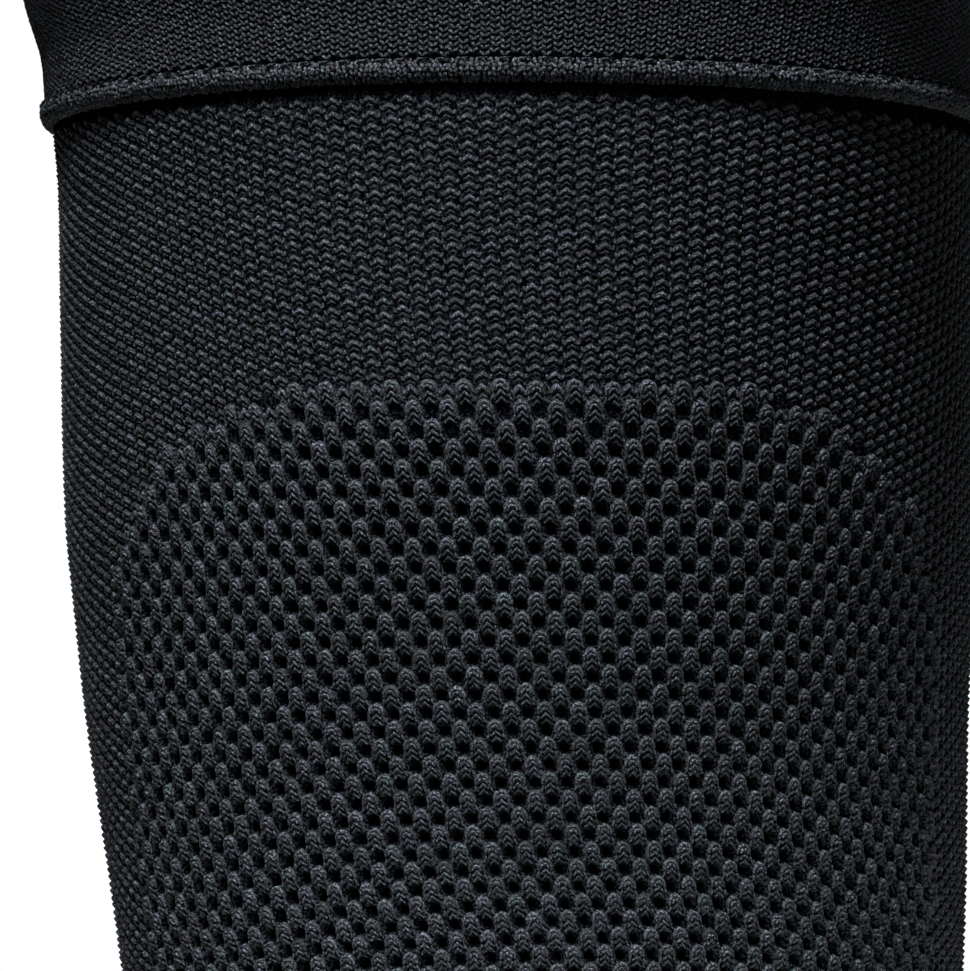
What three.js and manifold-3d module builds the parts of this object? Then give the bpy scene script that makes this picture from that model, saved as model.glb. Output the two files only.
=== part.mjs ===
// A knitted knee sleeve, in millimetres. +Z runs up the leg and -Y is the front of the knee. The
// origin is the middle of the knee, inside the sleeve.
import * as THREE from 'three';
import Module from 'manifold-3d';
import { mergeVertices } from 'three/addons/utils/BufferGeometryUtils.js';

const wasm = await Module();
wasm.setup();

// Sizes of the whole sleeve
const LENGTH = 300; // rim of the thigh cuff to rim of the calf cuff
const THIGH_WIDTH = 132; // across the plain knit, a hand above the knee
const GAP = 0.3; // between neighbouring pieces

// The knitted walls
const PLAIN_WALL = 2.2;
const MESH_WALL = 3;
const MESH_PROUD = 0.5; // how far the knee panel stands out of the plain knit
const CUFF_WALL = 2;
const CUFF_PROUD = 0.8; // how far the cuffs stand out of the plain knit's line

// The two ends
const THIGH_CUFF_HEIGHT = 30.7;
const CALF_CUFF_HEIGHT = 30.7;
const HEM_HEIGHT = 3; // the rolled ridge where cuff and plain knit meet
const HEM_DEPTH = 4; // through the roll, from inside to outside
const HEM_PROUD = 1.5; // how far the roll overhangs the plain knit
const HEM_LIFT = 0.5; // the extra overhang at the sleeve's +X side

// The knee panel, measured round the leg and up it
const PANEL_WIDTH = 148;
const PANEL_HEIGHT = 150;
const PANEL_CORNER_WIDTH = 52;
const PANEL_CORNER_HEIGHT = 38;

// How finely the shapes are faceted
const ROUND_STEPS = 64;
const CUFF_STEPS = 3;
const TUBE_STEPS = 14;
const HEM_ROUND_STEPS = 6;
const PANEL_COLUMNS = 20;
const PANEL_ROWS = 20;

const HALF_LENGTH = LENGTH / 2;
const THIGH_RADIUS = THIGH_WIDTH / 2;
const THIGH_SEAM = HALF_LENGTH - THIGH_CUFF_HEIGHT - GAP / 2;
const CALF_SEAM = -HALF_LENGTH + CALF_CUFF_HEIGHT + GAP / 2;
const TUBE_TOP = THIGH_SEAM - HEM_HEIGHT - GAP * 1.5;
const TUBE_FOOT = CALF_SEAM + HEM_HEIGHT + GAP * 1.5;

// Sections of the leg from the thigh down. height is a share of half the length; side, front and
// back are how far the knit reaches from the section's middle, and shift is how far that middle
// lies toward +X, all as shares of the thigh's radius.
const SECTIONS = [
  { height: 1.0, side: 1.073, front: 1.07, back: 1.07, shift: -0.079 },
  { height: 0.893, side: 1.039, front: 1.042, back: 1.042, shift: -0.07 },
  { height: 0.84, side: 1.014, front: 1.022, back: 1.022, shift: -0.059 },
  { height: 0.793, side: 1.008, front: 1.012, back: 1.012, shift: -0.055 },
  { height: 0.72, side: 1.0, front: 1.003, back: 1.003, shift: -0.045 },
  { height: 0.6, side: 0.994, front: 0.997, back: 0.997, shift: -0.045 },
  { height: 0.4, side: 0.988, front: 0.99, back: 0.985, shift: -0.039 },
  { height: 0.3, side: 0.974, front: 0.98, back: 0.968, shift: -0.031 },
  { height: 0.2, side: 0.956, front: 0.966, back: 0.942, shift: -0.023 },
  { height: 0.0, side: 0.918, front: 0.932, back: 0.882, shift: 0.006 },
  { height: -0.2, side: 0.876, front: 0.89, back: 0.83, shift: 0.018 },
  { height: -0.433, side: 0.83, front: 0.818, back: 0.828, shift: 0.015 },
  { height: -0.733, side: 0.839, front: 0.782, back: 0.885, shift: 0.0 },
  { height: -1.0, side: 0.848, front: 0.779, back: 0.903, shift: -0.009 },
];

// The yarn's colour and how dull it is, by kind of knit
const KNITS = {
  cuff: { color: 0x22252b, roughness: 0.9 },
  hem: { color: 0x2b2f35, roughness: 0.9 },
  plain: { color: 0x17191e, roughness: 0.92 },
  mesh: { color: 0x1d2026, roughness: 0.92 },
};

// One column of the sections at a height share, on a curve that is smooth from row to row
function sectionAt(share, column) {
  const last = SECTIONS.length - 1;
  let row = 0;
  while (row < last - 1 && SECTIONS[row + 1].height > share) row += 1;
  const above = SECTIONS[row];
  const below = SECTIONS[row + 1];
  const step = below.height - above.height;
  const part = THREE.MathUtils.clamp((share - above.height) / step, 0, 1);
  const slope = (index) => {
    const before = SECTIONS[Math.max(index - 1, 0)];
    const after = SECTIONS[Math.min(index + 1, last)];
    return (step * (after[column] - before[column])) / (after.height - before.height);
  };
  const squared = part * part;
  const cubed = squared * part;
  return (
    (2 * cubed - 3 * squared + 1) * above[column] +
    (cubed - 2 * squared + part) * slope(row) +
    (3 * squared - 2 * cubed) * below[column] +
    (cubed - squared) * slope(row + 1)
  );
}

// A point round the leg at an angle from the front, at a height, so far out of the plain knit
function legPoint(angle, height, out) {
  const share = height / HALF_LENGTH;
  const reach = (column) => THIGH_RADIUS * sectionAt(share, column);
  const depth = Math.cos(angle) > 0 ? reach('front') : reach('back');
  return new THREE.Vector3(
    reach('shift') + (reach('side') + out) * Math.sin(angle),
    -(depth + out) * Math.cos(angle),
    height,
  );
}

function moveVertices(geometry, place) {
  const positions = geometry.getAttribute('position');
  const point = new THREE.Vector3();
  for (let index = 0; index < positions.count; index += 1) {
    const moved = place(point.fromBufferAttribute(positions, index));
    positions.setXYZ(index, moved.x, moved.y, moved.z);
  }
  geometry.deleteAttribute('normal');
  geometry.deleteAttribute('uv');
  return mergeVertices(geometry);
}

// A ring round the leg. Its outline holds points { out, height }, from the inside's top round by
// the bottom; lift(angle) moves the outer side further out.
function legRing(outline, lift = () => 0) {
  const outermost = Math.max(...outline.map((point) => point.out));
  const innermost = Math.min(...outline.map((point) => point.out));
  const closed = [...outline, outline[0]];
  const profile = closed.map(({ out, height }) => new THREE.Vector2(THIGH_RADIUS + out, height));
  const ring = new THREE.LatheGeometry(profile, ROUND_STEPS);
  return moveVertices(ring, ({ x, y, z }) => {
    const facet = Math.round((Math.atan2(x, z) * ROUND_STEPS) / (2 * Math.PI));
    const angle = (facet * 2 * Math.PI) / ROUND_STEPS;
    const out = Math.hypot(x, z) - THIGH_RADIUS;
    const share = (out - innermost) / (outermost - innermost);
    return legPoint(angle, y, out + share * lift(angle));
  });
}

// Half the angle that the knee panel takes at a height: a rectangle with oval corners
function panelHalfAngle(height, halfWidth, halfHeight) {
  const straight = PANEL_HEIGHT / 2 - PANEL_CORNER_HEIGHT;
  const cornerHeight = halfHeight - straight;
  const climb = THREE.MathUtils.clamp((Math.abs(height) - straight) / cornerHeight, 0, 1);
  const cornerWidth = PANEL_CORNER_WIDTH * (1 - Math.sqrt(1 - climb * climb));
  return (halfWidth - cornerWidth) / THIGH_RADIUS;
}

// A flat block bent round the front of the leg, as wide at each height as the knee panel. Its
// rows lie closer where the corners curve.
function bentPanel(inner, outer, clearance) {
  const halfWidth = PANEL_WIDTH / 2 + clearance;
  const halfHeight = PANEL_HEIGHT / 2 + clearance;
  const block = new THREE.BoxGeometry(2, 2, 1, PANEL_COLUMNS, PANEL_ROWS, 1);
  return moveVertices(block, ({ x, y, z }) => {
    const height = halfHeight * Math.sin((y * Math.PI) / 2);
    const angle = x * panelHalfAngle(height, halfWidth, halfHeight);
    return legPoint(angle, height, z > 0 ? outer : inner);
  });
}

function toSolid(geometry) {
  const vertProperties = new Float32Array(geometry.getAttribute('position').array);
  const triVerts = new Uint32Array(geometry.getIndex().array);
  return new wasm.Manifold(new wasm.Mesh({ numProp: 3, vertProperties, triVerts }));
}

function toGeometry(solid) {
  const { vertProperties, triVerts } = solid.getMesh();
  const geometry = new THREE.BufferGeometry();
  geometry.setAttribute('position', new THREE.BufferAttribute(vertProperties, 3));
  geometry.setIndex(new THREE.BufferAttribute(triVerts, 1));
  return geometry;
}

function knit(name, geometry, kind) {
  const material = new THREE.MeshStandardMaterial({ ...KNITS[kind], metalness: 0 });
  const mesh = new THREE.Mesh(geometry, material);
  mesh.name = name;
  return mesh;
}

// Heights from one end to the other in equal steps
function steps(from, to, count) {
  return Array.from({ length: count + 1 }, (_, index) => from + ((to - from) * index) / count);
}

// A band with one flat wall inside and one outside
function bandOutline(top, foot, inner, outer, count) {
  return [
    ...steps(top, foot, count).map((height) => ({ out: inner, height })),
    ...steps(foot, top, count).map((height) => ({ out: outer, height })),
  ];
}

// The rolled hem's outline, which is half round on its outer side
function hemOutline(top, foot) {
  const middle = (top + foot) / 2;
  const radius = (top - foot) / 2;
  const inner = HEM_PROUD - HEM_DEPTH;
  const quarterTurn = Math.PI / 2;
  const roll = steps(-quarterTurn, quarterTurn, HEM_ROUND_STEPS).map((angle) => ({
    out: HEM_PROUD - radius + radius * Math.cos(angle),
    height: middle + radius * Math.sin(angle),
  }));
  return [{ out: inner, height: top }, { out: inner, height: foot }, ...roll];
}

function makeCuff(name, top, foot) {
  const outline = bandOutline(top, foot, CUFF_PROUD - CUFF_WALL, CUFF_PROUD, CUFF_STEPS);
  return knit(name, legRing(outline), 'cuff');
}

function makeHem(name, top, foot) {
  const lift = (angle) => HEM_LIFT * Math.max(Math.sin(angle), 0);
  return knit(name, legRing(hemOutline(top, foot), lift), 'hem');
}

function makeLegTube() {
  const tube = toSolid(legRing(bandOutline(TUBE_TOP, TUBE_FOOT, -PLAIN_WALL, 0, TUBE_STEPS)));
  const cutterReach = 2 * MESH_WALL;
  const window = toSolid(bentPanel(-cutterReach, cutterReach, GAP));
  return knit('leg_tube', toGeometry(tube.subtract(window)), 'plain');
}

function makeKneePanel() {
  return knit('knee_panel', bentPanel(MESH_PROUD - MESH_WALL, MESH_PROUD, 0), 'mesh');
}

const kneeSleeve = new THREE.Group();
kneeSleeve.add(
  makeCuff('thigh_cuff', HALF_LENGTH, THIGH_SEAM + GAP / 2),
  makeHem('thigh_hem', THIGH_SEAM - GAP / 2, THIGH_SEAM - GAP / 2 - HEM_HEIGHT),
  makeLegTube(),
  makeKneePanel(),
  makeHem('calf_hem', CALF_SEAM + GAP / 2 + HEM_HEIGHT, CALF_SEAM + GAP / 2),
  makeCuff('calf_cuff', CALF_SEAM - GAP / 2, -HALF_LENGTH),
);

export default kneeSleeve;
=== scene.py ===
"""Dresses the solids of a knee sleeve in knitted yarn. The scene is in metres, +Z up the leg, and
-Y is the front of the knee. Lengths in this script are millimetres until a mesh is made."""

import math

import bmesh
import bpy
import numpy as np
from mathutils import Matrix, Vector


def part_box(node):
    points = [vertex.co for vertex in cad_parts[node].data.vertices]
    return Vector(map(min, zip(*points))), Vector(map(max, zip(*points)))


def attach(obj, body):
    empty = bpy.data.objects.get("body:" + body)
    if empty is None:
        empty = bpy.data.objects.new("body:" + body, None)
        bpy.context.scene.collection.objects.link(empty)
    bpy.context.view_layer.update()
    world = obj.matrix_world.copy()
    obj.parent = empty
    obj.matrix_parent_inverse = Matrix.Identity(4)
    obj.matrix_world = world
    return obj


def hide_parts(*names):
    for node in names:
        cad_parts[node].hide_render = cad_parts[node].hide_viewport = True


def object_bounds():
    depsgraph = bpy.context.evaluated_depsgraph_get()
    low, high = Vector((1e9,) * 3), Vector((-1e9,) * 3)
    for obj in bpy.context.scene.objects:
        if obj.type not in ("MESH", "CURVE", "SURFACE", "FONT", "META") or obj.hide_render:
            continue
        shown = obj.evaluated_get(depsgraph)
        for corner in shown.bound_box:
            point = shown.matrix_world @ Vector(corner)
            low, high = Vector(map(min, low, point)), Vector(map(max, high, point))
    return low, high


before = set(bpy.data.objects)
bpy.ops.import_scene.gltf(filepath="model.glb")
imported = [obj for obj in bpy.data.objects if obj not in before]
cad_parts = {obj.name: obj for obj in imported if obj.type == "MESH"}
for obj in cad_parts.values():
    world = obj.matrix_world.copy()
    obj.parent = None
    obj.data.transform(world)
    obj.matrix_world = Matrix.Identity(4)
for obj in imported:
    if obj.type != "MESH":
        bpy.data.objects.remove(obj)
cad_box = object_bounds()

MM = 0.001

# The camera, from the photograph's framing
PHOTO_SIDE = 971
MM_PER_PIXEL = 0.144
SENSOR_WIDTH = 36.0
CAMERA_DISTANCE = 1300.0
CAMERA_RISE = math.radians(3.5)
TARGET = (-7.6, 0.0, 64.5)

# The solid's sizes
LENGTH = 300.0
THIGH_WIDTH = 132.0
HEM_PROUD = 1.5
HEM_DEPTH = 4.0
HEM_LIFT = 0.5
CUFF_PROUD = 0.8
CUFF_WALL = 2.0
PLAIN_WALL = 2.2
MESH_WALL = 3.0
MESH_PROUD = 0.5
PANEL_WIDTH = 148.0
PANEL_HEIGHT = 150.0
PANEL_CORNER_WIDTH = 52.0
PANEL_CORNER_HEIGHT = 38.0
GAP = 0.3

# The knit's sizes
WALES = 164
PLAIN_COURSE = 1.86
CUFF_WALES = 2 * WALES
CUFF_COURSE = 0.83
HEM_ROWS = 7
PLAIN_FURROW = 0.3
PLAIN_RELIEF = 0.37
POD_RELIEF = 0.5
CUFF_RELIEF = 0.32
HEM_RELIEF = 0.3
SEAM_RELIEF = 0.4

# How unevenly the strands lie, as shares of a wale and of a course
PLAIN_LOOSE = 0.03
POD_LOOSE = 0.045
CUFF_LOOSE = 0.06
HEM_LOOSE = 0.13

# The knee panel's relief
PANEL_SURFACE = 0.15  # how far the panel's bed lies out of the plain knit
PANEL_EDGE = -0.7  # how far the bed sinks below that along the panel's edge
PIT_DEPTH = 1.1  # how far a pit lies below the bed
POD_HEIGHT = 0.35  # how far a pod's ground rises above it
POD_CROWN = 0.25  # how much further the middle of a pod rises
PIT_WALL = (-0.75, -0.25)  # where the wave of pits and pods starts and ends its climb
PIT_SHADE_DEPTHS = (-0.9, 0.3)  # the depths where the ground's painted shade is darkest and lightest
PIT_DEEPEST_SHADE = 0.02  # the square root of the ground's tone where its painted shade is darkest
SPARE_WALES = 4  # wales looked at past half the panel's width, because they lean

# Where knit meets knit
WINDOW_OVERLAP = 7.0  # how far the panel laps over the plain knit's window
SEAM_PROUD = 1.2  # how far the stitches between cuff and hem lie out of the plain knit's line
SEAM_LAP = 0.4  # how far the knit runs on into a hem, past the gap between the solids
EDGE_LAP = 0.02  # how far plain stitches run in under the panel's sides, as an angle
PLAIN_INSET = 0.5  # from a hem to the plain knit's first or last row
PLAIN_END = 0.9  # rows without stitches at each end of the plain knit
CUFF_END = 0.2  # the same at the foot of a cuff
CUFF_BED = 0.2  # how far the cuff's stitches sink below its solid's face
GROUND_SINK = 0.05  # how far the ground lies below the bed of its strands
HEM_SINK = 0.12

# How fine the meshes are
PANEL_FINENESS = 3  # quads of the panel's ground along each side of a cell
TUBE_RING_ROWS = 42
CUFF_RING_ROWS = (12, 6)  # on the outside and on the inside
HEM_RING_ROWS = 8
RIM_POINTS = 4  # round each quarter turn of a rim
WELD_REACH = 0.001  # how close two points of a seam lie that become one
FINE_SHARE = 0.3  # share of the round on each side of the front that gets the finer strokes
FINE_ANGLE = 104.0  # how far round from the front the plain knit gets them, in degrees
FINE_FOOT = -12.0  # the height down to which it gets them

# Strands of yarn
STRAND_TAPER = 0.55  # a strand's width at its ends, as a share of the width between them
SHORT_STRAND_TAPER = 0.9  # the same for a strand of two points
STRAND_ROUNDNESS = 0.95  # how far its edges lie below its crown, as a share of its half width
STRAND_SINK = 0.04  # how far its edges sink into the ground at the least
STRAND_EDGE_PAINTED_SHADE = 0.22  # painted shade along its edges: their tone as a share of its crown's
STRAND_DEEP_PAINTED_SHADE = 0.3  # painted shade on a crown lying on the ground: its tone as a share of a raised one's
TONE_SPREAD = 0.22  # how much the strands differ in tone
FIBRE_RUN = 60.0  # how much of the texture along the strands their starts are spread over

# The seed of each piece of yarn
SEEDS = {
    "plain_knit_front": 11,
    "plain_knit_back": 12,
    "plain_knit_calf": 13,
    "knee_panel_yarn": 21,
    "thigh_cuff_yarn": 31,
    "calf_cuff_yarn": 32,
    "thigh_hem_yarn": 41,
    "calf_hem_yarn": 42,
}

# Colours, and shades of them: where on a texture's range each lies, and its share of the colour
PLAIN_COLOR = (0.0113, 0.0128, 0.0151)
MESH_COLOR = (0.0128, 0.0144, 0.0169)
CUFF_COLOR = (0.0104, 0.0118, 0.014)
HEM_COLOR = (0.0108, 0.0123, 0.0145)
# The grounds between the strands: the yarn's colour darkened with painted shade
SHADED_GROUND_COLOR = (0.0017, 0.002, 0.0026)
SHADED_MESH_GROUND_COLOR = (0.004, 0.0047, 0.0057)
INSIDE_COLOR = (0.02, 0.022, 0.026)
FLOOR_COLOR = (0.8, 0.8, 0.8, 1)
# Fibre and grain shades: their own variation, with painted glints on the brightest
FIBRE_SHADES_AND_GLINTS = ((0.42, 0.12), (0.5, 0.8), (0.62, 9))
GRAIN_SHADES_AND_GLINTS = ((0.42, 0.15), (0.5, 0.6), (0.62, 5))
# Purl shades: painted highlight on the purl bumps' crowns and painted shade between them
PURL_SHADE_AND_HIGHLIGHT = ((0.0, 0.4), (0.3, 1), (1.0, 2.2))
PATCH_TINTS = ((0.34, (0.8, 1.05, 1.0)), (0.5, (0.96, 1.0, 1.04)), (0.66, (1.02, 0.94, 1.16)))

# Textures
FIBRE_SCALE = (2.7, 4.0, 1)  # along a strand and across it
PATCH_SCALE = 420.0
GRAIN_SCALE = 2600.0
FIBRE_DEPTH = 0.3
PURL_DEPTH = 0.35

# The lamps, in metres and degrees. Each faces the point aim; azimuth runs from the front toward +X,
# and spread is how wide the beam opens.
LAMPS = {
    "key": {
        "aim": (-0.003, -0.06, 0.06), "azimuth": -21, "elevation": 57,
        "distance": 0.7, "size": (0.08, 0.32), "spread": 34, "power": 1.0,
    },
    "right_fill": {
        "aim": (0.03, -0.04, 0.15), "azimuth": 48, "elevation": 12,
        "distance": 0.8, "size": (0.2, 0.3), "spread": 40, "power": 0.053,
    },
    "back_light": {
        "aim": (0, 0.06, 0.03), "azimuth": 180, "elevation": 22,
        "distance": 1.2, "size": (0.5, 0.5), "spread": 180, "power": 12,
    },
    "low_fill": {
        "aim": (0.01, -0.06, -0.03), "azimuth": 8, "elevation": -22,
        "distance": 0.26, "size": (0.16, 0.05), "spread": 34, "power": 0.075,
    },
}
WORLD_LIGHT = 0.02
WORLD_SHOWN = 1.05  # how bright the world looks behind the sleeve
FLOOR_SIDE = 3.0
FLOOR_DROP = 0.0005  # from the sleeve's foot to the floor

HALF_LENGTH = LENGTH / 2
THIGH_RADIUS = THIGH_WIDTH / 2

# Sections of the leg from the calf up: share of half the length, then shares of the thigh's radius
SECTION_HEIGHT = (-1, -0.733, -0.433, -0.2, 0, 0.2, 0.3, 0.4, 0.6, 0.72, 0.793, 0.84, 0.893, 1)
SECTIONS = {
    "side": (
        0.848, 0.839, 0.83, 0.876, 0.918, 0.956, 0.974, 0.988, 0.994, 1, 1.008, 1.014, 1.039, 1.073,
    ),
    "front": (
        0.779, 0.782, 0.818, 0.89, 0.932, 0.966, 0.98, 0.99, 0.997, 1.003, 1.012, 1.022, 1.042,
        1.07,
    ),
    "back": (
        0.903, 0.885, 0.828, 0.83, 0.882, 0.942, 0.968, 0.985, 0.997, 1.003, 1.012, 1.022, 1.042,
        1.07,
    ),
    "shift": (
        -0.009, 0, 0.015, 0.018, 0.006, -0.023, -0.031, -0.039, -0.045, -0.045, -0.055, -0.059,
        -0.07, -0.079,
    ),
}

# How far a wale leans toward +X from even spacing, in degrees. Each row is for the wale that would
# lie at that angle from the front, at these heights.
LEAN_HEIGHT = (-75, -5, 6, 24, 42, 55, 67, 77, 88, 100, 112, 130)
LEAN = {
    -60: (0, 2.4, 1.9, 2.9, 4.3, 5.5, 4.7, 3.3, 1.4, -0.9, -2.2, -5.3),
    -30: (0, 4.3, 3.4, 2.8, 2.8, 2.6, 1.4, 0, -1.4, -2.6, -3.1, -3.8),
    0: (0, 3.7, 2.7, 2.0, 1.5, 1.2, 0.4, -0.3, -0.8, -1.3, -1.3, -0.5),
    30: (0, 2.2, 0.8, 0.2, 0.1, 0.2, 0.2, 0.5, 0.7, 1.0, 1.8, 4.2),
    60: (0, 2.3, 0.5, -1.9, -2.4, -1.7, -0.3, 1.8, 3.6, 5.6, 6.2, 9.5),
}

# How far a course hangs below its height at the front, round the leg at the same angles
HANG_HEIGHT = (-75, -30, 0, 12, 24, 36, 48, 61, 77, 100, 115)
HANG = {
    -60: (0, 1.5, 2.5, 1.6, 0.7, -0.1, -0.45, -0.55, -0.9, -0.6, -0.5),
    -30: (0, 0.7, 1.1, 0.7, 0.35, 0.1, 0, 0, -0.05, 0.15, 0.3),
    0: (0,) * len(HANG_HEIGHT),
    30: (0, 0.2, 0.3, 0.3, 0, -0.2, -0.15, 0.05, 0, 0.2, 0.2),
    60: (0, 1.8, 3.1, 2.5, 1.9, 1.35, 1.0, 1.0, 0.55, 0.8, 0.6),
}

# The knee panel's rows, from above its top edge to below its foot, and their heights at the front
PANEL_ROWS = (-2, 5, 10, 20, 64)
PANEL_ROW_HEIGHT = (80.3, 61.3, 48.1, 23.6, -80)


def smooth(at, knots, values):
    """A curve through values at rising knots, smooth from knot to knot."""
    knots = np.asarray(knots, float)
    values = np.asarray(values, float)
    at = np.clip(at, knots[0], knots[-1])
    index = np.arange(len(knots))
    before = np.maximum(index - 1, 0)
    after = np.minimum(index + 1, len(knots) - 1)
    slopes = (values[after] - values[before]) / (knots[after] - knots[before])
    row = np.clip(np.searchsorted(knots, at) - 1, 0, len(knots) - 2)
    step = knots[row + 1] - knots[row]
    part = (at - knots[row]) / step
    squared, cubed = part**2, part**3
    return (
        (2 * cubed - 3 * squared + 1) * values[row]
        + (cubed - 2 * squared + part) * step * slopes[row]
        + (3 * squared - 2 * cubed) * values[row + 1]
        + (cubed - squared) * step * slopes[row + 1]
    )


def leg_point(turn, height, out):
    """Points round the leg at angles from the front, at heights, so far out of the plain knit."""
    turn, height, out = np.broadcast_arrays(turn, height, out)
    share = height / HALF_LENGTH
    columns = (THIGH_RADIUS * smooth(share, SECTION_HEIGHT, c) for c in SECTIONS.values())
    side, front, back, shift = columns
    depth = np.where(np.cos(turn) > 0, front, back)
    return np.stack(
        [shift + (side + out) * np.sin(turn), -(depth + out) * np.cos(turn), height],
        axis=-1,
    )


def panel_half_angle(height):
    """Half the angle that the knee panel takes: a rectangle with oval corners."""
    straight = PANEL_HEIGHT / 2 - PANEL_CORNER_HEIGHT
    climb = np.clip((np.abs(height) - straight) / PANEL_CORNER_HEIGHT, 0, 1)
    corner = PANEL_CORNER_WIDTH * (1 - np.sqrt(1 - climb**2))
    return np.where(np.abs(height) > PANEL_HEIGHT / 2, 0, (PANEL_WIDTH / 2 - corner) / THIGH_RADIUS)


def drape(table, heights, angle, height):
    """A table's value between its angles and heights. The back of the leg takes none."""
    angles = (-180, *table, 180)
    total = 0
    for number, values in enumerate(table.values(), start=1):
        share = smooth(angle, angles, np.eye(len(angles))[number])
        total = total + share * smooth(height, heights, values)
    return total


class Zone:
    """A stretch of knit: wales counted round from the front, rows counted down from its top. rows
    and heights tell how high each row lies at the front."""

    def __init__(self, wales, rows, heights, out, hangs=True):
        self.wales, self.row_knots, self.heights = wales, rows, heights
        self.out, self.hangs = out, hangs
        self.first, self.last = rows[0], rows[-1]
        self.course = (heights[0] - heights[-1]) / (self.last - self.first)

    def turn_and_height(self, across, down):
        angle = across * 360 / self.wales
        height = smooth(down, self.row_knots, self.heights)
        turn = np.radians(angle + drape(LEAN, LEAN_HEIGHT, angle, height))
        if self.hangs:
            height = height - drape(HANG, HANG_HEIGHT, angle, height)
        return turn, height

    def place(self, across, down, out):
        turn, height = self.turn_and_height(across, down)
        return leg_point(turn, height, self.out + out)

    def wale_width(self):
        return 2 * np.pi * THIGH_RADIUS / self.wales

    def map_point(self, across, down):
        return across / self.wales + 0.5, (self.last - down) / (self.last - self.first)


class Roll(Zone):
    """The outer half of a rolled hem; down runs round the roll from its top to its foot."""

    def __init__(self, wales, rows, top, foot):
        self.radius = (top - foot) / 2
        super().__init__(wales, (0, rows), (top, foot), HEM_PROUD - self.radius, hangs=False)

    def place(self, across, down, out):
        turn, _ = self.turn_and_height(across, 0)
        round_angle = np.pi * (0.5 - down / self.last)
        reach = self.radius + out
        lift = HEM_LIFT * np.maximum(np.sin(turn), 0) * np.maximum(np.cos(round_angle), 0)
        middle = self.heights[0] - self.radius
        height = middle + reach * np.sin(round_angle)
        return leg_point(turn, height, self.out + reach * np.cos(round_angle) + lift)


def make_piece(name, points, faces, maps, tone_and_shade, material, nodes):
    """A smooth mesh from millimetre points and quads, in place of the named solids."""
    mesh = bpy.data.meshes.new(name)
    mesh.vertices.add(len(points))
    mesh.vertices.foreach_set("co", (points * MM).ravel())
    mesh.loops.add(faces.size)
    mesh.loops.foreach_set("vertex_index", faces.ravel())
    mesh.polygons.add(len(faces))
    mesh.polygons.foreach_set("loop_start", np.arange(0, faces.size, faces.shape[1]))
    mesh.update(calc_edges=True)
    for map_name, places in maps.items():
        layer = mesh.uv_layers.new(name=map_name)
        layer.uv.foreach_set("vector", places[faces.ravel()].ravel())
    attribute = mesh.attributes.new("tone_and_shade", "FLOAT", "POINT")
    attribute.data.foreach_set("value", tone_and_shade.ravel())
    mesh.shade_smooth()
    mesh.materials.append(material)
    piece = bpy.data.objects.new(name, mesh)
    bpy.context.scene.collection.objects.link(piece)
    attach(piece, "root")
    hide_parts(*nodes)
    return piece


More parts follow.
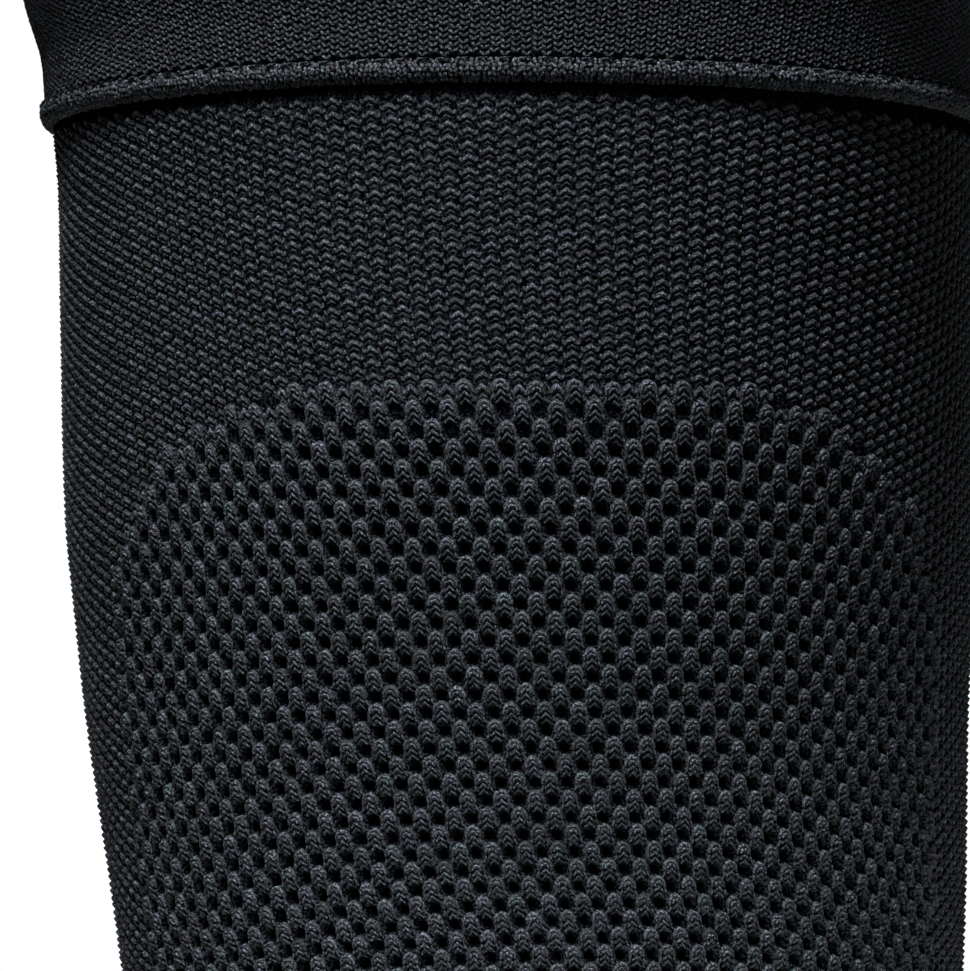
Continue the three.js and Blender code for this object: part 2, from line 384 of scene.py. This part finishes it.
class Yarn:
    """Gathers ribbons of yarn for one piece. Each is a row of crown points between sunk edges."""

    def __init__(self, name):
        self.name = name
        self.random = np.random.default_rng(SEEDS[name])
        self.points, self.faces, self.bake, self.yarn, self.tone_and_shade = [], [], [], [], []
        self.count = 0

    def add(self, zone, cells, strokes, relief, bed, loose=PLAIN_LOOSE):
        """Lays the strokes in each cell. bed(across, down) is how far out the ground lies."""
        if not len(cells):
            return
        shift = self.random.normal(0, loose, (len(cells), 2))
        for half_width, path in strokes:
            self._lay(zone, cells + shift, half_width, np.array(path, float), relief, bed, loose)

    def _lay(self, zone, cells, half_width, path, relief, bed, loose):
        steps = len(path)
        cell_size = np.array([zone.wale_width(), zone.course])
        line = path[:, :2] * cell_size
        along = np.gradient(line, axis=0)
        along /= np.linalg.norm(along, axis=1, keepdims=True)
        side = np.stack([-along[:, 1], along[:, 0]], axis=1)
        taper = np.ones(steps)
        taper[[0, -1]] = STRAND_TAPER if steps > 2 else SHORT_STRAND_TAPER
        reach = half_width * zone.wale_width() * taper[:, None]
        offsets = np.stack([-side * reach, side * 0, side * reach], axis=1) / cell_size
        across = cells[:, 0, None, None] + path[None, :, 0, None] + offsets[None, :, :, 0]
        down = cells[:, 1, None, None] - path[None, :, 1, None] - offsets[None, :, :, 1]
        ground = bed(across, down)
        wander = self.random.normal(0, 2 * loose, (len(cells), 1))
        crown = ground[:, :, 1] + relief * (path[None, :, 2] + wander)
        drop = STRAND_ROUNDNESS * reach[:, 0]
        out = np.empty(across.shape)
        out[:, :, 1] = crown
        for edge in (0, 2):
            out[:, :, edge] = np.minimum(ground[:, :, edge] - STRAND_SINK, crown - drop)
        points = zone.place(across, down, out)
        lengths = np.r_[0, np.cumsum(np.linalg.norm(np.diff(line, axis=0), axis=1))]
        start = self.random.uniform(0, FIBRE_RUN, (len(cells), 1, 1))
        run = start + lengths[None, :, None] + np.zeros(across.shape)
        width = np.array([-1, 0, 1]) * reach[None, :, 0, None] + np.zeros(across.shape)
        # Each strand's tone differs at random, times painted shade along its sunk edges and where
        # its crown lies low
        tone_and_shade = 1 + self.random.normal(0, TONE_SPREAD, (len(cells), 1, 1)) + np.zeros(across.shape)
        shade = STRAND_DEEP_PAINTED_SHADE + (1 - STRAND_DEEP_PAINTED_SHADE) * np.clip(path[:, 2], 0, 1)
        tone_and_shade = tone_and_shade * shade[None, :, None] * np.array([STRAND_EDGE_PAINTED_SHADE, 1, STRAND_EDGE_PAINTED_SHADE])
        first = self.count + 3 * steps * np.arange(len(cells))[:, None, None]
        step = 3 * np.arange(steps - 1)[None, :, None]
        lower = np.array([0, 3, 4, 1])[None, None, :]
        quads = np.concatenate([first + step + lower, first + step + lower + 1], axis=1)
        self.points.append(points.reshape(-1, 3))
        self.faces.append(quads.reshape(-1, 4))
        self.bake.append(np.stack(zone.map_point(across, down), axis=-1).reshape(-1, 2))
        self.yarn.append(np.stack([run, width], axis=-1).reshape(-1, 2))
        self.tone_and_shade.append(tone_and_shade.ravel())
        self.count += across.size

    def piece(self, material, slot, *nodes):
        maps = {"OFBake": np.concatenate(self.bake), "yarn": np.concatenate(self.yarn)}
        return make_piece(
            self.name, np.concatenate(self.points), np.concatenate(self.faces), maps,
            np.concatenate(self.tone_and_shade), material, nodes,
        )


def mirrored(half_width, path):
    """A stroke and its mirror image across the wale's middle line."""
    other = [(-across, up, lift) for across, up, lift in reversed(path)]
    return [(half_width, path), (half_width, other)]


def arch(half_width, half_path):
    """One stroke that runs through its half path and back down the mirror image of it."""
    return (half_width, half_path + [(-a, up, lift) for a, up, lift in reversed(half_path[:-1])])


# Strokes of yarn in a cell: half width as a share of a wale, then points as shares of the wale
# across, of the course up, and of the relief outward
PLAIN_STROKES = [
    arch(0.15, [(-0.345, -0.16, 0.3), (-0.2, 0.06, 0.8), (0, 0.25, 1)]),
    *mirrored(0.105, [(-0.465, 0.19, 0.5), (-0.415, -0.03, 0.75), (-0.355, -0.18, 0.35)]),
    arch(0.115, [(-0.235, -0.4, 0), (0, -0.21, 0.3)]),
]
PLAIN_STROKES_COARSE = [
    arch(0.16, [(-0.33, -0.16, 0.3), (0, 0.25, 1)]),
    *mirrored(0.09, [(-0.465, 0.19, 0.6), (-0.36, -0.16, 0.6)]),
]
POD_STROKES = [
    arch(0.15, [(-0.43, -0.12, 0.25), (-0.38, 0.16, 0.6), (-0.24, 0.36, 0.85), (0, 0.48, 1)]),
    arch(0.125, [(-0.26, -0.04, 0.6), (-0.16, 0.15, 0.9), (0, 0.21, 1)]),
    arch(0.125, [(-0.31, -0.37, 0.4), (0, -0.09, 0.85)]),
    arch(0.115, [(-0.3, -0.7, 0.3), (0, -0.42, 0.65)]),
    *mirrored(0.08, [(-0.42, -0.2, 0.35), (-0.46, -0.38, 0.45), (-0.6, -0.56, 0.25)]),
]
CUFF_STROKES = mirrored(0.2, [(-0.44, 0.36, 0.5), (-0.26, 0.03, 1), (-0.08, -0.34, 0.6)])
CUFF_STROKES_COARSE = mirrored(0.17, [(-0.42, 0.34, 0.8), (-0.1, -0.32, 0.9)])
DASH_STROKES = [
    (0.24, [(-0.72, -0.28, 0.2), (-0.35, -0.14, 1), (0.35, 0.14, 1), (0.72, 0.28, 0.2)]),
]


class Shading:
    """A new material and the nodes that feed its shader. Each method but feed, color and bump
    returns what its node puts out."""

    def __init__(self, name, roughness, specular):
        self.material = bpy.data.materials.new(name)
        self.material.use_nodes = True
        self.tree = self.material.node_tree
        self.shader = self.tree.nodes["Principled BSDF"].inputs
        self.feed(self.shader["Roughness"], roughness)
        self.feed(self.shader["Specular IOR Level"], specular)

    def feed(self, socket, value):
        """Links a socket to another node's, or sets it."""
        if isinstance(value, bpy.types.NodeSocket):
            self.tree.links.new(value, socket)
        else:
            socket.default_value = value

    def add(self, kind, inputs=(), **settings):
        node = self.tree.nodes.new(kind)
        for key, value in settings.items():
            setattr(node, key, value)
        for key, value in dict(inputs).items():
            self.feed(node.inputs[key], value)
        return node.outputs

    def noise(self, place, scale, detail, roughness=0.5, dimensions="3D"):
        inputs = {"Vector": place, "Scale": scale, "Detail": detail, "Roughness": roughness}
        return self.add("ShaderNodeTexNoise", inputs, noise_dimensions=dimensions)["Fac"]

    def math(self, operation, *values):
        return self.add("ShaderNodeMath", enumerate(values), operation=operation)["Value"]

    def multiply(self, first, second):
        inputs = {"Factor": 1.0, 6: first, 7: second}
        return self.add("ShaderNodeMix", inputs, data_type="RGBA", blend_type="MULTIPLY")[2]

    def ramp(self, source, stops):
        """A colour ramp through stops of (position, colour)."""
        ramp = self.tree.nodes.new("ShaderNodeValToRGB")
        elements = ramp.color_ramp.elements
        while len(elements) < len(stops):
            elements.new(0.5)
        for element, (position, color) in zip(elements, stops):
            element.position = position
            element.color = (*color, 1)
        self.feed(ramp.inputs["Fac"], source)
        return ramp.outputs["Color"]

    def shades(self, source, color, shares):
        return self.ramp(source, [(at, [share * c for c in color]) for at, share in shares])

    def color(self, color):
        self.feed(self.shader["Base Color"], color)

    def bump(self, source, strength, depth):
        inputs = {"Strength": strength, "Distance": depth * MM, "Height": source}
        self.feed(self.shader["Normal"], self.add("ShaderNodeBump", inputs)["Normal"])


def yarn_material(name, color):
    """Spun charcoal yarn: fibres along each strand with painted glints on the brightest, soft
    patches of colour, dull glints, and the painted shade that its points carry.
    """
    shading = Shading(name, roughness=0.6, specular=0.2)
    along = shading.add("ShaderNodeUVMap", uv_map="yarn")["UV"]
    stretched = shading.add("ShaderNodeMapping", {"Vector": along, "Scale": FIBRE_SCALE})["Vector"]
    fibres = shading.noise(stretched, 1.0, 3.0, roughness=0.7, dimensions="2D")
    place = shading.add("ShaderNodeTexCoord")["Object"]
    tint = shading.ramp(shading.noise(place, PATCH_SCALE, 1.0), PATCH_TINTS)
    tinted = shading.multiply(shading.shades(fibres, color, FIBRE_SHADES_AND_GLINTS), tint)
    tone_and_shade = shading.add("ShaderNodeAttribute", attribute_name="tone_and_shade")["Fac"]
    shading.color(shading.multiply(tinted, tone_and_shade))
    shading.bump(fibres, 1.0, FIBRE_DEPTH)
    return shading.material


def ground_material(name, color):
    """The knit that shows between the strands: a colour darkened with painted shade, a grain whose
    brightest specks are painted glints, and the painted shade that its points carry.
    """
    shading = Shading(name, roughness=0.9, specular=0.0)
    place = shading.add("ShaderNodeTexCoord")["Object"]
    grain = shading.noise(place, GRAIN_SCALE, 2.0)
    tone_and_shade = shading.add("ShaderNodeAttribute", attribute_name="tone_and_shade")["Fac"]
    shading.color(shading.multiply(shading.shades(grain, color, GRAIN_SHADES_AND_GLINTS), tone_and_shade))
    shading.bump(grain, 1.0, FIBRE_DEPTH)
    return shading.material


def inside_material(name, wales, rows):
    """The sleeve's inner face: the purl bumps of the knit, in rows, with painted highlight on their
    crowns and painted shade between them.
    """
    shading = Shading(name, roughness=0.8, specular=0.2)
    place = shading.add("ShaderNodeUVMap", uv_map="OFBake")["UV"]
    parts = shading.add("ShaderNodeSeparateXYZ", {"Vector": place})
    waves = [
        shading.math("SINE", shading.math("MULTIPLY", parts[axis], 2 * math.pi * count))
        for axis, count in (("X", wales), ("Y", rows))
    ]
    bumps = shading.math("MULTIPLY", *waves)
    shading.color(shading.shades(bumps, INSIDE_COLOR, PURL_SHADE_AND_HIGHLIGHT))
    shading.bump(bumps, 0.7, PURL_DEPTH)
    return shading.material


def grid_faces(rows, columns):
    """Quads of a grid of points laid row by row, facing out when the rows run downward."""
    corner = np.arange(rows - 1)[:, None] * columns + np.arange(columns - 1)[None, :]
    corners = [corner, corner + columns, corner + columns + 1, corner + 1]
    return np.stack(corners, axis=-1).reshape(-1, 4)


def boundary(faces):
    """Sides of quads that no other quad shares, each running as it does in its quad."""
    sides = np.stack([faces, np.roll(faces, -1, axis=1)], axis=-1).reshape(-1, 2)
    ends = np.sort(sides, axis=1)
    _, first, count = np.unique(ends, axis=0, return_index=True, return_counts=True)
    return sides[first[count == 1]]


def weld(piece):
    """Joins points that lie on each other, such as along a ring's seam."""
    work = bmesh.new()
    work.from_mesh(piece.data)
    bmesh.ops.remove_doubles(work, verts=work.verts, dist=WELD_REACH * MM)
    work.to_mesh(piece.data)
    work.free()
    piece.data.shade_smooth()


def finish_ring(piece, is_inner, wales, rows):
    """Closes a ring's seam and gives its inner faces the look of the knit's inside."""
    piece.data.materials.append(inside_material(f"{piece.name}_inside", wales, rows))
    piece.data.polygons.foreach_set("material_index", is_inner.astype(np.int32))
    weld(piece)


def in_window(turn, height):
    """Whether points of the plain knit lie well under the knee panel, where the tube is open."""
    lap = WINDOW_OVERLAP / THIGH_RADIUS
    reach = PANEL_HEIGHT / 2 / (PANEL_HEIGHT / 2 - WINDOW_OVERLAP)
    return np.abs(turn) < panel_half_angle(height * reach) - lap


def ring_piece(name, zone, outside, inside, columns, groove, slot, node, window=None):
    """A closed ring of knit round the leg. outside holds (out, height) points going down the
    visible face, inside those going up the other; groove is the furrow between two wales. The ring
    is open where window(turn, height) holds, which takes as many points inside as outside."""
    profile = np.array([*outside, *inside, outside[0]])
    across = np.linspace(-zone.wales / 2, zone.wales / 2, columns + 1)
    angle = across * 360 / zone.wales
    height = profile[:, 1, None]
    turn = np.radians(angle + drape(LEAN, LEAN_HEIGHT, angle[None, :], height))
    furrow = groove * 0.5 * (1 - np.cos(2 * np.pi * across))[None, :]
    is_outside = np.arange(len(profile)) % (len(profile) - 1) < len(outside)
    furrow = furrow * is_outside[:, None]
    points = leg_point(turn, height, profile[:, 0, None] - furrow)
    run = np.r_[0, np.cumsum(np.linalg.norm(np.diff(profile, axis=0), axis=1))]
    map_x, map_y = np.broadcast_arrays(across[None, :] / zone.wales + 0.5, (run / run[-1])[:, None])
    maps = {"OFBake": np.stack([map_x, map_y], axis=-1).reshape(-1, 2)}
    tone_and_shade = np.ones(points.shape[:2])
    faces = grid_faces(*points.shape[:2])
    inner = np.repeat(np.arange(len(profile) - 1) >= len(outside) - 1, columns)
    if window:
        cut = window(turn, height).ravel()[faces].all(axis=1)
        rim = boundary(faces[cut & ~inner])
        row, column = np.divmod(rim[:, ::-1], columns + 1)
        behind = (len(outside) + len(inside) - 1 - row) * (columns + 1) + column
        faces = np.concatenate([faces[~cut], np.hstack([rim, behind])])
        inner = np.r_[inner[~cut], np.zeros(len(rim), bool)]
    piece = make_piece(name, points.reshape(-1, 3), faces, maps, tone_and_shade, SHADED_GROUND, [node])
    finish_ring(piece, inner, zone.wales, int(run[-1] / zone.course))
    return piece


def band_profile(top, foot, outer, inner, rows, inner_rows):
    """A band with rounded rims: the points down its outside and those up its inside."""
    radius = (outer - inner) / 2
    middle = (outer + inner) / 2
    high, low = top - radius, foot + radius

    def corner(quarter, center):
        """Points round a quarter turn. Turns run from straight up, by way of the outside."""
        turns = (quarter + np.linspace(0, 1, RIM_POINTS)) * np.pi / 2
        return [(middle + radius * np.sin(a), center + radius * np.cos(a)) for a in turns]

    down = [(outer, height) for height in np.linspace(high, low, rows)[1:-1]]
    up = [(inner, height) for height in np.linspace(low, high, inner_rows)[1:-1]]
    outside = [*corner(0, high), *down, *corner(1, low)]
    return outside, [*corner(2, low)[1:], *up, *corner(3, high)[:-1]]


def node_heights(node):
    low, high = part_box(node)
    return low[2] / MM, high[2] / MM


def level_bed(across, down):
    return 0 * (across + down)


def plain_bed(across, down):
    """Flat wales with a furrow between each two."""
    return -0.5 * PLAIN_FURROW * (1 - np.cos(2 * np.pi * across)) + 0 * down


def pod_bed(across, down):
    """Rounded pods and the pits between them, on a checkerboard."""
    board = np.cos(np.pi * (across + 1)) * np.cos(np.pi * (down - 0.5))
    rise = np.clip((board - PIT_WALL[0]) / (PIT_WALL[1] - PIT_WALL[0]), 0, 1)
    rise = rise * rise * (3 - 2 * rise)
    return -PIT_DEPTH + (PIT_DEPTH + POD_HEIGHT) * rise + POD_CROWN * np.clip(board, 0, 1)


def cell_grid(wales, rows):
    """Every wale and row of a stretch of knit."""
    wale, row = np.meshgrid(np.arange(*wales), np.arange(*rows), indexing="ij")
    return wale.ravel(), row.ravel()


def in_panel(zone, across, down, margin=0.0):
    turn, height = zone.turn_and_height(across, down)
    turn = (turn + np.pi) % (2 * np.pi) - np.pi
    return np.abs(turn) < panel_half_angle(height) - margin


def plain_cells(zone):
    """Cells of the plain knit outside the knee panel; odd wales are half a course lower."""
    wale, row = cell_grid((-WALES // 2, WALES // 2), (0, int(zone.last)))
    down = row + 0.5 + 0.5 * (wale % 2)
    across = wale.astype(float)
    clear = (down > PLAIN_END) & (down < zone.last - PLAIN_END)
    return np.stack([across, down], axis=1)[~in_panel(zone, across, down, EDGE_LAP) & clear]


def make_plain_knit(zone):
    cells = plain_cells(zone)
    turn, height = zone.turn_and_height(cells[:, 0], cells[:, 1])
    seen = (np.abs(turn) < math.radians(FINE_ANGLE)) & (height > FINE_FOOT)
    upper = ~seen & (height > 0)
    pieces = []
    for name, chosen, strokes in (
        ("plain_knit_front", seen, PLAIN_STROKES),
        ("plain_knit_back", upper, PLAIN_STROKES_COARSE),
        ("plain_knit_calf", ~seen & ~upper, PLAIN_STROKES_COARSE),
    ):
        yarn = Yarn(name)
        yarn.add(zone, cells[chosen], strokes, PLAIN_RELIEF, plain_bed)
        pieces.append(yarn.piece(PLAIN_YARN, "plain_knit", "leg_tube"))
    return pieces


def edge_bed(across, down):
    return level_bed(across, down) - PANEL_SURFACE


def panel_cells(zone):
    """The panel's cells, and which of them are pods."""
    half = int(zone.wales * PANEL_WIDTH / (4 * np.pi * THIGH_RADIUS)) + SPARE_WALES
    wale, row = cell_grid((-half, half + 1), (zone.first, zone.last))
    keep = in_panel(zone, wale.astype(float), row + 0.5)
    return wale[keep], row[keep], ((wale + row) % 2 == 1)[keep]


def make_panel_yarn(zone, cells, pods, at_edge):
    """Pods in every other cell, and plain stitches in those between them along the edge."""
    yarn = Yarn("knee_panel_yarn")
    yarn.add(zone, cells[pods], POD_STROKES, POD_RELIEF, pod_bed, loose=POD_LOOSE)
    yarn.add(zone, cells[at_edge & ~pods], PLAIN_STROKES, PLAIN_RELIEF, edge_bed)
    return yarn.piece(MESH_YARN, "mesh_knit", "knee_panel")


def make_panel_grounds(zone, kept, first_wale, first_row):
    """The panel's ground with its rim, and its inner face. kept holds its rows of cells."""
    rows, wales = kept.shape
    fine = PANEL_FINENESS
    across, down = np.meshgrid(
        np.linspace(-0.5, wales - 0.5, wales * fine + 1) + first_wale,
        np.linspace(0, rows, rows * fine + 1) + first_row,
    )
    kept_faces = np.repeat(np.repeat(kept, fine, axis=0), fine, axis=1).ravel()
    faces = grid_faces(*down.shape)[kept_faces]
    around = np.bincount(faces.ravel(), minlength=down.size).reshape(down.shape)
    bed = pod_bed(across, down)
    # Painted shade on the panel's ground, darker the deeper it lies toward a pit
    darkest, lightest = PIT_SHADE_DEPTHS
    tone_and_shade = np.clip((bed - darkest) / (lightest - darkest), PIT_DEEPEST_SHADE, 1) ** 2
    outer = np.where(around == 4, bed, PANEL_EDGE)
    inner = np.full(bed.shape, MESH_PROUD - MESH_WALL - zone.out)
    points = np.concatenate([zone.place(across, down, out) for out in (outer, inner)])
    map_x, map_y = zone.map_point(across, down)
    maps = np.concatenate([np.stack([map_x, 0.5 * map_y + half], axis=-1) for half in (0, 0.5)])
    points, maps = points.reshape(-1, 3), maps.reshape(-1, 2)
    rim = boundary(faces)
    wall = np.hstack([rim[:, ::-1], rim + bed.size])
    row_at, wale_at = np.divmod(grid_faces(rows + 1, wales + 1)[kept.ravel()], wales + 1)
    backs = fine * (row_at * down.shape[1] + wale_at) + bed.size
    back_knit = inside_material("panel_back", zone.wales, 2 * (zone.last - zone.first))
    pieces = []
    for name, corners, material in (
        ("knee_panel_ground", np.concatenate([faces, wall]), SHADED_MESH_GROUND),
        ("knee_panel_back", backs[:, ::-1], back_knit),
    ):
        used, corners = np.unique(corners, return_inverse=True)
        pieces.append(make_piece(
            name, points[used], corners.reshape(-1, 4), {"OFBake": maps[used]},
            np.tile(tone_and_shade.ravel(), 2)[used], material, ["knee_panel"],
        ))
    return pieces


def make_panel(zone):
    """The knee panel's ground, its inner face and its yarn."""
    wale, row, pods = panel_cells(zone)
    first_wale, first_row = wale.min(), row.min()
    kept = np.zeros((np.ptp(row) + 1, np.ptp(wale) + 1), bool)
    kept[row - first_row, wale - first_wale] = True
    padded = np.pad(kept, 1)
    enclosed = padded[:-2, 1:-1] & padded[2:, 1:-1] & padded[1:-1, :-2] & padded[1:-1, 2:]
    at_edge = ~enclosed[row - first_row, wale - first_wale]
    cells = np.stack([wale.astype(float), row + 0.5], axis=1)
    strands = make_panel_yarn(zone, cells, pods, at_edge)
    return [*make_panel_grounds(zone, kept, first_wale, first_row), strands]


def lay_cuff_strokes(yarn, zone, cells, strokes, relief, loose):
    """Lays the strokes toward the front, and coarser ones round the rest of the leg."""
    front = np.abs(cells[:, 0]) < CUFF_WALES * FINE_SHARE
    yarn.add(zone, cells[front], strokes, relief, level_bed, loose)
    yarn.add(zone, cells[~front], CUFF_STROKES_COARSE, relief, level_bed, loose)


def make_cuff(node, strokes):
    """A cuff, whose ground runs on into the hem that it is stitched to."""
    low, high = node_heights(node)
    rows = round((high - low) / CUFF_COURSE)
    zone = Zone(CUFF_WALES, (0, rows), (high, low), CUFF_PROUD - CUFF_BED, hangs=False)
    top, foot = (high, low - SEAM_LAP) if high > 0 else (high + SEAM_LAP, low)
    outer, inner = CUFF_PROUD - CUFF_BED - GROUND_SINK, CUFF_PROUD - CUFF_WALL
    profile = band_profile(top, foot, outer, inner, *CUFF_RING_ROWS)
    ground = ring_piece(f"{node}_ground", zone, *profile, CUFF_WALES, 0.0, "cuff_knit", node)
    wale, row = cell_grid((-CUFF_WALES // 2, CUFF_WALES // 2), (0, rows))
    cells = np.stack([wale.astype(float), row + 0.5 + 0.5 * (wale % 2)], axis=1)
    cells = cells[cells[:, 1] < rows - CUFF_END]
    yarn = Yarn(f"{node}_yarn")
    lay_cuff_strokes(yarn, zone, cells, strokes, CUFF_RELIEF, CUFF_LOOSE)
    return ground, yarn.piece(CUFF_YARN, "cuff_knit", node)


def make_hem_ground(node, zone):
    across = np.linspace(-CUFF_WALES / 2, CUFF_WALES / 2, CUFF_WALES + 1)
    rows = np.linspace(0, HEM_ROWS, HEM_RING_ROWS + 1)
    outer = zone.place(across[None, :], rows[:, None], -HEM_SINK)
    turn, _ = zone.turn_and_height(across, 0)
    high, low = zone.heights
    inner = [leg_point(turn, height, HEM_PROUD - HEM_DEPTH)[None] for height in (low, high)]
    points = np.concatenate([outer, *inner, outer[:1]])
    map_x, map_y = np.broadcast_arrays(
        across[None, :] / CUFF_WALES + 0.5, np.linspace(0, 1, len(points))[:, None]
    )
    ground = make_piece(
        f"{node}_ground", points.reshape(-1, 3), grid_faces(*points.shape[:2]),
        {"OFBake": np.stack([map_x, map_y], axis=-1).reshape(-1, 2)}, np.ones(points.shape[:2]),
        SHADED_GROUND, [node],
    )
    is_back = np.repeat(np.arange(len(points) - 1) >= HEM_RING_ROWS, CUFF_WALES)
    finish_ring(ground, is_back, CUFF_WALES, 2 * HEM_ROWS)
    return ground


def make_hem(node, strokes, seam):
    """A rolled hem, and the stitches that hold it to its cuff at the height of the seam."""
    low, high = node_heights(node)
    zone = Roll(CUFF_WALES, HEM_ROWS, high, low)
    ground = make_hem_ground(node, zone)
    wale, row = cell_grid((-CUFF_WALES // 2, CUFF_WALES // 2), (0, HEM_ROWS))
    cells = np.stack([wale.astype(float), row + 0.5 + 0.25 * (wale % 2)], axis=1)
    yarn = Yarn(f"{node}_yarn")
    lay_cuff_strokes(yarn, zone, cells, strokes, HEM_RELIEF, HEM_LOOSE)
    stitches = Zone(CUFF_WALES, (0, 1), (seam, seam - 1), SEAM_PROUD, hangs=False)
    places = np.arange(-CUFF_WALES / 2, CUFF_WALES / 2, 2.0)
    dashes = np.stack([places, np.zeros(len(places))], axis=1)
    yarn.add(stitches, dashes, DASH_STROKES, SEAM_RELIEF, level_bed, CUFF_LOOSE)
    return ground, yarn.piece(HEM_YARN, "hem_knit", node)


def make_camera():
    data = bpy.data.cameras.new("camera")
    data.sensor_width = SENSOR_WIDTH
    data.lens = SENSOR_WIDTH * (CAMERA_DISTANCE / MM_PER_PIXEL) / PHOTO_SIDE
    data.clip_start = 0.05
    camera = bpy.data.objects.new("camera", data)
    reach = CAMERA_DISTANCE * MM
    camera.location = (
        TARGET[0] * MM,
        TARGET[1] * MM - reach * math.cos(CAMERA_RISE),
        TARGET[2] * MM - reach * math.sin(CAMERA_RISE),
    )
    camera.rotation_euler = (math.pi / 2 + CAMERA_RISE, 0, 0)
    bpy.context.scene.collection.objects.link(camera)
    bpy.context.scene.camera = camera


def make_light(name, aim, azimuth, elevation, distance, size, spread, power):
    """A lamp that faces the point aim on the sleeve, as LAMPS describes it."""
    data = bpy.data.lights.new(name, "AREA")
    data.shape = "RECTANGLE"
    data.size, data.size_y = size
    data.spread = math.radians(spread)
    data.energy = power
    lamp = bpy.data.objects.new(name, data)
    azimuth, elevation = math.radians(azimuth), math.radians(elevation)
    lamp.location = (
        aim[0] + distance * math.sin(azimuth) * math.cos(elevation),
        aim[1] - distance * math.cos(azimuth) * math.cos(elevation),
        aim[2] + distance * math.sin(elevation),
    )
    lamp.rotation_euler = (math.pi / 2 - elevation, 0, azimuth)
    bpy.context.scene.collection.objects.link(lamp)


def make_studio():
    world = bpy.data.worlds.new("studio")
    bpy.context.scene.world = world
    world.use_nodes = True
    tree = world.node_tree
    lit = tree.nodes["Background"]
    lit.inputs["Color"].default_value = (1, 1, 1, 1)
    lit.inputs["Strength"].default_value = WORLD_LIGHT
    shown = tree.nodes.new("ShaderNodeBackground")
    shown.inputs["Color"].default_value = (1, 1, 1, 1)
    shown.inputs["Strength"].default_value = WORLD_SHOWN
    path = tree.nodes.new("ShaderNodeLightPath")
    mix = tree.nodes.new("ShaderNodeMixShader")
    tree.links.new(path.outputs["Is Camera Ray"], mix.inputs["Fac"])
    tree.links.new(lit.outputs["Background"], mix.inputs[1])
    tree.links.new(shown.outputs["Background"], mix.inputs[2])
    tree.links.new(mix.outputs["Shader"], tree.nodes["World Output"].inputs["Surface"])
    for name, lamp in LAMPS.items():
        make_light(name, **lamp)
    foot = cad_box[0][2]
    bpy.ops.mesh.primitive_plane_add(size=FLOOR_SIDE, location=(0, 0, foot - FLOOR_DROP))
    floor = bpy.context.object
    floor.name = "floor"
    pale = bpy.data.materials.new("pale_floor")
    pale.use_nodes = True
    shader = pale.node_tree.nodes["Principled BSDF"]
    shader.inputs["Base Color"].default_value = FLOOR_COLOR
    shader.inputs["Roughness"].default_value = 0.6
    floor.data.materials.append(pale)
    bpy.context.scene.view_settings.view_transform = "Standard"


make_camera()
make_studio()

PLAIN_YARN = yarn_material("plain_yarn", PLAIN_COLOR)
MESH_YARN = yarn_material("mesh_yarn", MESH_COLOR)
CUFF_YARN = yarn_material("cuff_yarn", CUFF_COLOR)
HEM_YARN = yarn_material("hem_yarn", HEM_COLOR)
SHADED_GROUND = ground_material("ground", SHADED_GROUND_COLOR)
SHADED_MESH_GROUND = ground_material("mesh_ground", SHADED_MESH_GROUND_COLOR)

plain_top = node_heights("thigh_hem")[0] - PLAIN_INSET
plain_foot = node_heights("calf_hem")[1] + PLAIN_INSET
plain_rows = round((plain_top - plain_foot) / PLAIN_COURSE)
plain = Zone(WALES, (0, plain_rows), (plain_top, plain_foot), 0.0)
tube_low, tube_high = node_heights("leg_tube")
tube_heights = np.linspace(tube_high + SEAM_LAP, tube_low - SEAM_LAP, TUBE_RING_ROWS)
tube_outside = [(-GROUND_SINK, height) for height in tube_heights]
tube_inside = [(-PLAIN_WALL, height) for height in tube_heights[::-1]]
tube_ground = ring_piece(
    "leg_tube_ground", plain, tube_outside, tube_inside, 2 * WALES, PLAIN_FURROW,
    "plain_knit", "leg_tube", window=in_window,
)
plain_knit = make_plain_knit(plain)
panel_ground, *panel_others = make_panel(Zone(WALES, PANEL_ROWS, PANEL_ROW_HEIGHT, PANEL_SURFACE))
thigh_cuff_ground, thigh_cuff_yarn = make_cuff("thigh_cuff", CUFF_STROKES)
calf_cuff_ground, calf_cuff_yarn = make_cuff("calf_cuff", CUFF_STROKES_COARSE)
thigh_hem = make_hem("thigh_hem", CUFF_STROKES, node_heights("thigh_cuff")[0] - GAP / 2)
calf_hem = make_hem("calf_hem", CUFF_STROKES_COARSE, node_heights("calf_cuff")[1] + GAP / 2)
